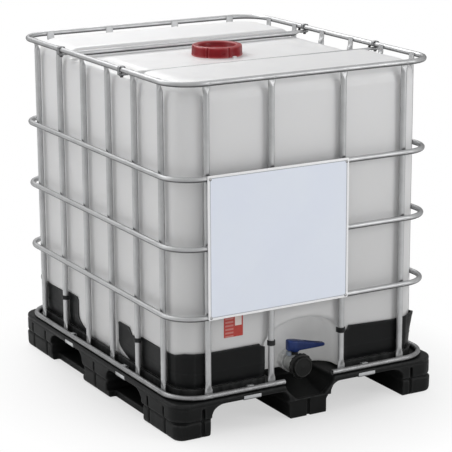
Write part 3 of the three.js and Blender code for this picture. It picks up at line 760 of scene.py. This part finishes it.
# ---- lid ----
def build_lid():
    low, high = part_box("lid")
    b, t = low.z / MM, high.z / MM
    panels, first_notch = 7, 0.76

    def panel(r, h, angle):
        """Broad grip panels with a narrow notch between neighbours."""
        if r < 80 * MM or h > high.z - 2.2 * MM:
            return r
        place = (angle * panels / (2 * math.pi) + first_notch) % 1.0 - 0.5
        bow = 1.6 * MM * (place * 2) ** 2
        notch = 2.8 * MM * (1 - smooth((0.5 - abs(place) - 0.025) / 0.03))
        return r - bow - notch

    profile = [(0, 1128.5), (61, 1128.5), (64.5, 1130.5), (66, 1134), (66.5, 1141.9),
               (75.2, 1141.9), (75.6, 1140), (75.6, b), (86, b), (87.6, b + 1.4), (87.6, b + 6),
               (87, b + 8), (86.2, b + 24), (85.6, t - 6), (85.2, t - 3.4), (83.4, t - 1.2),
               (80.6, t - 0.2), (76, t), (70, t), (66.6, t - 1), (64.6, t - 3.2), (63.2, t - 7),
               (61.6, 1135), (60, 1133), (57, 1132.2), (34, 1132.2), (32.6, 1133.2),
               (30.4, 1133.2), (29, 1132.2), (11, 1132.2), (9.5, 1133.6), (6, 1133.8), (0, 1133.8)]
    lid = lathe("lid_cap", from_mm(profile), 224, NECK_FOOT, sharp=32, radius_of=panel)
    finish(lid, RED, "lid", body="lid")
    g0, g1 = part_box("lid_gasket")
    seal = lathe("lid_seal", from_mm([(69.6, 0), (73.4, 0), (73.9, 0.6)], g0.z)
                 + from_mm([(73.9, -0.6), (73.4, 0), (69.6, 0), (69.2, -0.6)], g1.z)
                 + from_mm([(69.2, 0.6)], g0.z), 72, NECK_FOOT)
    finish(seal, RUBBER, "lid_gasket", body="lid_seal")
    nib = prism("tank_lock_tab", from_mm([(-8, -4), (8, -4), (6, 4), (-6, 4)]),
                1104 * MM, 1119 * MM)
    bevel(nib, 2.2 * MM, 3)
    nib.data.transform(Matrix.Translation((15 * MM, NECK.y - 94 * MM, 0))
                       @ Matrix.Rotation(0.2, 4, "Z"))
    finish(nib, NATURAL)


# ---- outlet valve ----
def lobes(from_radius, depth, threshold, count, softness):
    """A radius function that cuts shallow grooves between lobes, outside a radius."""
    def radius_of(r, h, angle):
        if r < from_radius:
            return r
        return r - depth * smooth((threshold - math.cos(angle * count)) / softness)
    return radius_of


def valve_seat(node):
    """A valve piece's back and front, measured to -Y."""
    low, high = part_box(node)
    return -high.y, -low.y


def build_valve():
    cap = lathe("outlet_cap_shell", cap_profile(), 128, OUTLET, "y", 32,
                lobes(41 * MM, 1.6 * MM, 0.4, 16, 0.5))
    finish(cap, VALVE_BLACK, "outlet_cap", body="outlet_cap")

    back, front = valve_seat("outlet_gasket")
    seal = lathe("outlet_seal", from_mm([(22.6, 0), (28.6, 0), (29, 0.5)], back)
                 + from_mm([(29, -0.5), (28.6, 0), (22.6, 0)], front), 48, OUTLET, "y")
    finish(seal, RUBBER, "outlet_gasket", body="outlet_seal")

    back, front = valve_seat("union_nut")
    nut = lathe("union_nut_ring", from_mm([(30.4, 0), (36.5, 0), (38, 1.5)], back)
                + from_mm([(38, -1.5), (36.5, 0), (30.4, 0)], front), 120, OUTLET, "y", 32,
                lobes(34 * MM, 2.2 * MM, 0.3, 10, 0.6))
    finish(nut, PALE, "union_nut")

    back, front = valve_seat("valve_body")
    spigot = [(28.4, k - 22) for k in range(22)]
    shell = lathe("valve_housing", from_mm([(22, 0), (29.5, 0), (29.5, 14), (31, 16), (33, 18),
                                            (33, 24), (31.6, 26)], back)
                  + from_mm([(31.6, -34), (33, -32), (33, -27), (29.6, -25)] + spigot
                            + [(28, 0), (22, 0)], front), 96, OUTLET, "y", 60,
                  screw(front - 20 * MM, front - 2.5 * MM, 6 * MM, 1.1 * MM))
    stem_foot = Vector((0, STEM_Y, OUTLET.z))
    boss = lathe("valve_stem_boss", from_mm([(0, 24), (13, 24), (11.5, 34), (11, 38), (5.6, 38),
                                             (5.4, 37.5), (5.4, 30), (0, 30)]), 40, stem_foot)
    finish(shell, PALE, "valve_body")
    finish(boss, VALVE_BLACK, "valve_body")

    disc = lathe("valve_flap", from_mm([(0, -2.5), (19.1, -2.5), (21.1, -1.2), (21.1, 1.2),
                                        (19.1, 2.5), (0, 2.5)], -STEM_Y), 64, OUTLET, "y")
    stem = lathe("stem", from_mm([(0, -19), (5, -18), (5, 55), (4.2, 56), (0, 56)]), 32, stem_foot)
    finish(join("valve_flap", [disc, stem]), VALVE_BLACK, "valve_disc", body="valve_lever")
    build_lever()


def cap_profile():
    """The outlet cap's half section from its underside round to its dished face."""
    back, front = valve_seat("outlet_cap")
    inside = from_mm([(0, -5), (29.8, -5), (30.2, -6)], front)
    skirt = from_mm([(30.2, 0), (41, 0), (42.5, 1.5), (42.5, 9)], back)
    face = from_mm([(42.5, -13.5), (41.2, -12), (36, -11), (34.4, -9.5), (33.8, -1.4), (32.6, 0),
                    (30.4, 0), (29.4, -0.8), (28.6, -2), (4, -2), (3, -1.6), (0, -1.6)], front)
    return inside + skirt + face


def build_lever():
    """A moulded lever: a round hub, a deep block on one side and an arm that tapers to its tip."""
    low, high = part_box("valve_lever")
    z0, z1 = low.z + 3 * MM, high.z - 3 * MM
    # each spot is a place along the arm, then half width, top and underside in millimetres
    spots = [(low.x, 8, 237, 205), (low.x + 2 * MM, 12, 239, 203), (low.x + 8 * MM, 16, 239.5, 202),
             (-0.012, 18.5, 238, 200.4), (0.004, 18.5, 235.5, 199.8), (0.016, 17.5, 232.5, 199.6),
             (0.026, 16.5, 230, 199.6), (0.045, 16, 225, 199.6), (0.07, 15, 218.5, 199.6),
             (0.092, 13.6, 213.5, 199.6), (high.x - 7 * MM, 12.4, 211, 199.7),
             (high.x - 2 * MM, 10.5, 210, 200.2), (high.x, 8, 208.5, 201.5)]
    rings = []
    for x, w, top, bottom in spots:
        rings.append([(x, STEM_Y + squared(c, 0.4) * w * MM,
                       ((top + bottom) + squared(s, 0.4) * (top - bottom)) / 2 * MM)
                      for c, s in circle(28)])
    arm = loft("lever", rings, sharp=45)
    tip = high.x - 14 * MM
    groove = prism("cut", [(34 * MM, -8 * MM), (tip, -6 * MM), (tip, 6 * MM), (34 * MM, 8 * MM)],
                   z0 + 8 * MM, z1 + 30 * MM)
    groove.data.transform(Matrix.Translation((0, STEM_Y, 0)))
    bevel(groove, 2.5 * MM, 3)
    combine(arm, [groove], "DIFFERENCE")
    shade(arm, 40)
    hub = lathe("hub", from_mm([(5.4, -3), (15, -3), (16.5, -1), (17, 6)], z0)
                + from_mm([(17, 0), (5.4, 0)], z1), 64, Vector((0, STEM_Y, 0)))
    finish(join("lever_handle", [arm, hub]), BLUE, "valve_lever", body="valve_lever")
    stop = prism("lever_stop", from_mm([(-27, -9), (-15, -9), (-15, 7), (-27, 7)]),
                 184 * MM, 199.6 * MM)
    bevel(stop, 2 * MM, 3)
    stop.data.transform(Matrix.Translation((0, STEM_Y + 4 * MM, 0)))
    finish(stop, BLUE_GREY)


# ---- pallet ----
def foot_gaps():
    """The fork ways as prisms, flared a little towards the floor, with rounded upper corners."""
    def way(inner, outer, low, axis, reach):
        top, shoulder, flare = 104, 60, 46
        points = [(inner - 9, low), (outer + 3, low), (outer + 3, 52), (outer, shoulder)]
        for cx, rx, start in ((outer - 46, 46, 0), (inner + 34, 34, 90)):
            points += [(cx + rx * c, top - 34 + 34 * s) for c, s in arc(start, 90, 8)]
        points += [(inner, shoulder), (inner - 9, flare)]
        return [prism("cut", [(s * u, v) for u, v in from_mm(points)], -reach, reach, axis)
                for s in (1, -1)]

    return (way(80, 368, -10, "y", PALLET_Y + OVER) + way(94, 357, 22, "x", PALLET_X + OVER))


def foot_cuts():
    """The raised side feet's undersides, the middle feet's steps and the upright grooves."""
    cuts = []
    end, side = PALLET_Y + OVER, PALLET_X + OVER
    groove, groove_depth = 5.5, 13
    for s in (-1, 1):
        for e in (-1, 1):
            cuts.append(block(e * side, e * (PALLET_X - 34 * MM), s * 100 * MM, s * 357 * MM,
                              -OVER, 26 * MM))
        cuts.append(block(-92 * MM, 92 * MM, s * end, s * (PALLET_Y - 15 * MM), -OVER,
                          64 * MM if s < 0 else 98 * MM))
        for x, depth, top in ((0, 24, 60), (400, groove_depth, 100), (-400, groove_depth, 100)):
            cuts.append(block((x - groove) * MM, (x + groove) * MM, s * end,
                              s * (PALLET_Y - depth * MM), -OVER, top * MM))
        for y in (0, 400, -400, 510, -510):
            cuts.append(block(s * side, s * (PALLET_X - groove_depth * MM),
                              (y - groove) * MM, (y + groove) * MM, -OVER, 100 * MM))
    return cuts


def gutter(y, floor, half):
    """A section of the channel under the valve, with walls that ease out towards its lip."""
    wide = 97 * MM
    shape = [(-wide, PALLET_TOP + MM), (-wide + 4 * MM, PALLET_TOP - 5 * MM)]
    shape += [(-mix(wide - 6 * MM, half, i / 6),
               mix(PALLET_TOP - 12 * MM, floor + 8 * MM, (i / 6) ** 0.8)) for i in range(7)]
    shape.append((-half + 7 * MM, floor))
    return [(x, y, z) for x, z in shape] + [(-x, y, z) for x, z in reversed(shape)]


def build_pallet():
    corner, low_corner = 60 * MM, 42 * MM
    rows = from_mm([(13, 0), (7, 5), (5, 14), (4, 53.5), (9, 55.5), (9, 60.5), (1.5, 62.5),
                    (0, 68), (0, 105), (2.5, 107), (2.5, 110), (0, 112)])
    rows += from_mm([(0, -4), (3, 0)], PALLET_TOP)
    pallet = loft("pallet_body", [
        [(x, y, z) for x, y in round_rect(PALLET_X - d, PALLET_Y - d,
                                          (low_corner if z < 55 * MM else corner) - d, 8)]
        for d, z in rows])
    cuts = foot_gaps() + foot_cuts()
    sections = ((-PALLET_Y - OVER, 68, 60), (-PALLET_Y + 18 * MM, 68, 60),
                (-PALLET_Y + 24 * MM, 62, 60), (-500 * MM, 74, 66), (-428 * MM, 96, 74))
    cuts.append(loft("cut", [gutter(y, floor * MM, half * MM) for y, floor, half in sections]))
    half = 34 * MM
    for node in CAGE_CLAMPS:
        out, at = clamp_place(node)
        a = beside(out, -12 * MM, at - half)
        b = beside(out, -OVER, at + half, 0, PALLET_X, PALLET_Y)
        cuts.append(block(a.x, b.x, a.y, b.y, 98 * MM, 119 * MM))
    combine(pallet, cuts, "DIFFERENCE")
    soften(pallet, (3.4 if FINE else 5) * MM, 2)
    if FINE:
        modify(pallet, "DECIMATE", ratio=0.35)
        shade(pallet, 60)
    finish(pallet, BLACK, "pallet")


def build_tray():
    low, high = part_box("tray")
    rows = (from_mm([(0, 0)], low.z) + from_mm([(0, -1.5), (1.5, 0), (9, 0), (11, -4)], high.z)
            + from_mm([(14, 6)], low.z))
    tray = loft("tray_shell", [
        [(x, y, z) for x, y in round_rect(high.x - d, high.y - d, 82 * MM - d, 10)]
        for d, z in rows], sharp=40)
    combine(tray, [block(-150 * MM, 150 * MM, low.y - OVER, -428 * MM, 0.05, 0.3)],
            "DIFFERENCE")
    bevel(tray, 1.5 * MM, 2, 60, 40)
    finish(tray, BLACK, "tray")


# ---- corner guards ----
GUARD_R = TANK_R + 0.5 * MM
QUARTER = GUARD_R * math.pi / 4                      # half of the bend's length


def build_guards():
    for end, sy in (("front", -1), ("rear", 1)):
        for side, sx in (("left", -1), ("right", 1)):
            node = f"corner_guard_{end}_{side}"
            finish(guard_sheet(node, sx, sy), GUARD, node)
            build_guard_hooks(node, sx, sy)


def guard_outline(sx, sy, z0, z1):
    """The sheet's edge drawn flat as (run, height), anticlockwise from the foot of its end leg."""
    eared = sx * sy < 0

    def end(x, height):
        return (-(QUARTER + (TANK_X - TANK_R) - x * MM), height)

    def side(y, height):
        return (QUARTER + (TANK_Y - TANK_R) - y * MM, height)

    if sy < 0:
        leg, foot, knee, power, notch = 112, 174, 202, 1, (196, 210, 262, 282)
    else:
        leg, foot, knee, power, notch = 205, 118, 212, 1.3, (300, 306, 325, 334)
    points = [end(150, z0), side(foot, z0)]
    for i in range(9):
        height = mix(z0 + 4 * MM, knee * MM, (i / 8) ** power)
        points.append(side(mix(foot, leg, math.sin(math.pi / 2 * i / 8)), height))
    points += [side(y, z1 + h * MM) for y, h in (
        (leg, -4), (leg + 3, 1), (leg + 8, 3), (notch[0] - 4, 3), (notch[0], -1), (notch[1], -19),
        (notch[2], -19), (notch[3], -6), (430, -7), (500, -1 if eared else -5))]
    points.append((0.0, z1 + (10 if eared else 3) * MM))
    points += [end(x, z1 + h * MM) for x, h in (
        (400, 3), (340, 1), (172, 8 if eared else 1), (164, -8), (150, -12))]
    return points


def guard_sheet(node, sx, sy):
    """A thin sheet bent round a corner of the tank. Run is measured from the corner's middle."""
    z0, z1 = (corner.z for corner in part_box(node))
    outline = guard_outline(sx, sy, z0, z1)
    mesh = bpy.data.meshes.new(node + "_sheet")
    mesh.from_pydata([(u, 0, v) for u, v in outline], [], [tuple(range(len(outline)))])
    first, last = min(u for u, v in outline), max(u for u, v in outline)
    across, upward = Vector((1, 0, 0)), Vector((0, 0, 1))
    lines = [(across * mix(-QUARTER, QUARTER, i / 28), across) for i in range(29)]
    lines += [(across * mix(first, last, i / 60), across) for i in range(1, 60)]
    lines += [(upward * (z0 + 4.2 * k * MM), upward) for k in range(1, 31)]
    with editing(mesh) as bm:
        for at, normal in lines:
            bmesh.ops.bisect_plane(bm, geom=bm.verts[:] + bm.edges[:] + bm.faces[:], plane_co=at,
                                   plane_no=normal, dist=1e-6)
        for v in bm.verts:
            v.co = bend_guard(v.co.x, v.co.z, sx, sy, z0, z1)
        bmesh.ops.recalc_face_normals(bm, faces=bm.faces)
        if sum(f.normal.dot(Vector((sx, sy, 0))) for f in bm.faces) < 0:
            bmesh.ops.reverse_faces(bm, faces=bm.faces)
    obj = place_new(node + "_sheet", mesh)
    modify(obj, "SOLIDIFY", thickness=2.4 * MM, offset=1.0)
    return shade(obj, 40)


def bend_guard(run, z, sx, sy, z0, z1):
    """Bends a point of the flat sheet round the tank, with its rim, ribs and lifted ear."""
    n = 0.7 * MM - tank_draw(z - 4 * MM)
    n += 1.3 * MM * smooth((z - z1 + 9 * MM) / (4 * MM))
    n += 1.0 * MM * hump(z - z0 - 50 * MM, 3 * MM)
    for fold in (-0.5, 0.5):
        n += 1.3 * MM * hump(run - fold * QUARTER, 5 * MM)
    if sx * sy < 0:
        n += 11 * MM * hump(run - 0.3 * QUARTER, 32 * MM) * smooth((z - 186 * MM) / (95 * MM))
    x, y = TANK_X - TANK_R, TANK_Y - TANK_R
    if abs(run) <= QUARTER:
        a = math.pi / 4 - run / GUARD_R
        x, y = x + (GUARD_R + n) * math.cos(a), y + (GUARD_R + n) * math.sin(a)
    elif run < 0:
        x, y = x - (-run - QUARTER), TANK_Y + 0.5 * MM + n
    else:
        x, y = TANK_X + 0.5 * MM + n, y - (run - QUARTER)
    return Vector((sx * x, sy * y, z))


def build_guard_hooks(node, sx, sy):
    """The clips that hold a guard to the nearest uprights."""
    outer_r, inner_r, tail = UPRIGHT_R + 3.4 * MM, UPRIGHT_R + 0.5 * MM, UPRIGHT_R + 1 * MM
    bend = arc(-35, 215, 18)
    outline = [(c * outer_r, s * outer_r) for c, s in bend] + [(-outer_r, -tail), (-inner_r, -tail)]
    outline += [(c * inner_r, s * inner_r) for c, s in reversed(bend)]
    for name, out, at, low, high, turn in (
            ("side", Vector((sx, 0, 0)), sy * 280 * MM, 246 * MM, 260 * MM, 1),
            ("end", Vector((0, sy, 0)), sx * 134 * MM, 261 * MM, 278 * MM, -1)):
        axis = beside(out, UPRIGHT_INSET, at)
        along = Vector((-out.y, out.x, 0)) * (sx * sy * turn)
        rings = [[axis + along * u + out * v + Vector((0, 0, z)) for u, v in outline]
                 for z in (low, high)]
        hook = loft(f"{node}_hook_{name}", rings, sharp=40)
        bevel(hook, 0.8 * MM, 2, 50, 40)
        finish(hook, GUARD)


# ---- plate, screws and label ----
def build_plate():
    low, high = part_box("label_plate")
    c, half = centre("label_plate"), (high - low) / 2
    # inset from the edge, depth from the front, corner radius, in millimetres
    rows = [(0, (high.y - low.y) / MM, 5), (0, 0.9, 5), (0.35, 0.25, 4.8), (1.2, 0, 4.5),
            (7, 0, 3), (7.8, 0.5, 2.6), (8.6, 0.7, 2.2)]
    plate = loft("label_plate_sheet", [
        [(c.x + x, low.y + depth * MM, c.z + z)
         for x, z in round_rect(half.x - inset * MM, half.z - inset * MM, corner * MM)]
        for inset, depth, corner in rows], sharp=25, first_cap=False)
    with editing(plate.data) as bm:
        if sum(f.normal.y * f.calc_area() for f in bm.faces) > 0:
            bmesh.ops.reverse_faces(bm, faces=bm.faces)
    modify(plate, "SOLIDIFY", thickness=1.0 * MM, offset=-1.0)
    shade(plate, 25)
    finish(plate, PLATE, "label_plate")
    head = from_mm([(0, -3.2), (2, -3.2), (2, 0), (5, 0), (5, 0.6), (4.2, 1.7), (2.6, 2.4),
                    (1.6, 2.5), (1.3, 1.4), (0, 1.3)], -low.y)
    for i in range(1, 5):
        node = f"plate_screw_{i}"
        at = Vector((middle(node, 0), 0, middle(node, 2)))
        finish(lathe(node + "_head", head, 32, at, "y"), STEEL, node)


def build_label():
    low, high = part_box("tank_label")
    c, half = centre("tank_label"), (high - low) / 2
    outline = [(c.x + x, c.z + z) for x, z in round_rect(half.x, half.z, 3 * MM, 5)]
    film = prism("tank_label_film", outline, high.y - 0.5 * MM, high.y + 0.2 * MM, "y")
    bevel(film, 0.12 * MM, 1)
    finish(film, LABEL, "tank_label")


# ---- studio ----
def build_floor():
    """A pale floor that takes the contact shadow and turns to plain white away from the object."""
    size = 30
    floor = make("studio_floor", [(-size, -size, 0), (size, -size, 0), (size, size, 0),
                                  (-size, size, 0)], [(0, 1, 2, 3)])
    m = Nodes("studio_floor")
    cloud = m.blend(m.ramp(m.noise(0.6, 2), 0.3, 0.7), (0.86, 0.86, 0.86), (0.88, 0.88, 0.88))
    m.set(Base_Color=cloud, Roughness=0.9, Specular_IOR_Level=0.1)
    spread = m.add("ShaderNodeMapping", {"Vector": m.coords,
                                         "Scale": (1 / 0.62, 1 / 0.72, 0)}).outputs[0]
    reach = m.add("ShaderNodeVectorMath", {"Vector": spread}, operation="LENGTH").outputs["Value"]
    fade = m.ramp(reach, 0.85, 1.5, 0.55, 1)
    seen = m.add("ShaderNodeLightPath").outputs["Is Camera Ray"]
    glow = m.add("ShaderNodeEmission", {"Color": (1, 1, 1, 1), "Strength": 1.0}).outputs[0]
    mixed = m.add("ShaderNodeMixShader", {0: m.times(fade, seen), 1: m.shader.outputs[0], 2: glow})
    m.put(m.tree.nodes["Material Output"].inputs["Surface"], mixed.outputs[0])
    floor.data.materials.append(m.owner)


def build_light():
    """A soft sky, brighter overhead, plain white to the camera, and three soft panels."""
    scene = bpy.context.scene
    w = Nodes("studio", world=True)
    scene.world = w.owner
    way = w.xyz()
    around = w.times(w.ramp(way["Z"], 0.05, 0.95, 0.26, 0.76),
                     w.ramp(way["X"], -0.9, 0.9, 1.12, 0.95))
    seen = w.add("ShaderNodeLightPath").outputs["Is Camera Ray"]
    w.set(Strength=w.add("ShaderNodeMix", {0: seen, 2: around, 3: 1.05}).outputs[0],
          Color=(1, 1, 1, 1))
    for name, place, aim, size, power in (
            ("overhead", (-0.3, 2.0, 3.0), (0, 0.45, 0.9), (3.2, 1.6), 56),
            ("right_strip", (2.2, -3.6, 2.0), (0, -0.4, 0.6), (1.6, 2.4), 40),
            ("left_strip", (-3.6, 1.2, 2.2), (-0.4, 0.1, 0.6), (2.6, 2.6), 26)):
        light = bpy.data.lights.new(name, "AREA")
        light.shape = "RECTANGLE"
        light.size, light.size_y = size
        light.energy = power
        obj = place_new(name, light)
        obj.location = place
        obj.rotation_mode = "QUATERNION"
        obj.rotation_quaternion = (Vector(aim) - Vector(place)).to_track_quat("-Z", "Y")
    scene.view_settings.view_transform = "Standard"
    scene.view_settings.look = "None"


def build_camera():
    """Stands at the front left, a little above the object, with a long lens."""
    azimuth, elevation, roll = math.radians(-29.49), math.radians(14.68), math.radians(-0.33)
    target = Vector((0.0173, -0.010, 0.5116))
    distance, lens, sensor = 6.521, 149.04, 36.0
    back = Vector((math.sin(azimuth) * math.cos(elevation),
                   -math.cos(azimuth) * math.cos(elevation), math.sin(elevation)))
    data = bpy.data.cameras.new("camera")
    data.sensor_width = sensor
    data.lens = lens
    data.clip_start, data.clip_end = 0.1, 100
    camera = place_new("camera", data)
    camera.location = target + back * distance
    camera.rotation_mode = "QUATERNION"
    look = (-back).to_track_quat("-Z", "Y")
    camera.rotation_quaternion = look @ Matrix.Rotation(roll, 3, "Z").to_quaternion()
    bpy.context.scene.camera = camera


build_hoops()
build_uprights()
build_crossbars()
build_crossbar_clamps()
build_cage_clamps()
build_tank()
build_lid()
build_valve()
build_pallet()
build_tray()
build_guards()
build_plate()
build_label()
build_floor()
build_light()
build_camera()
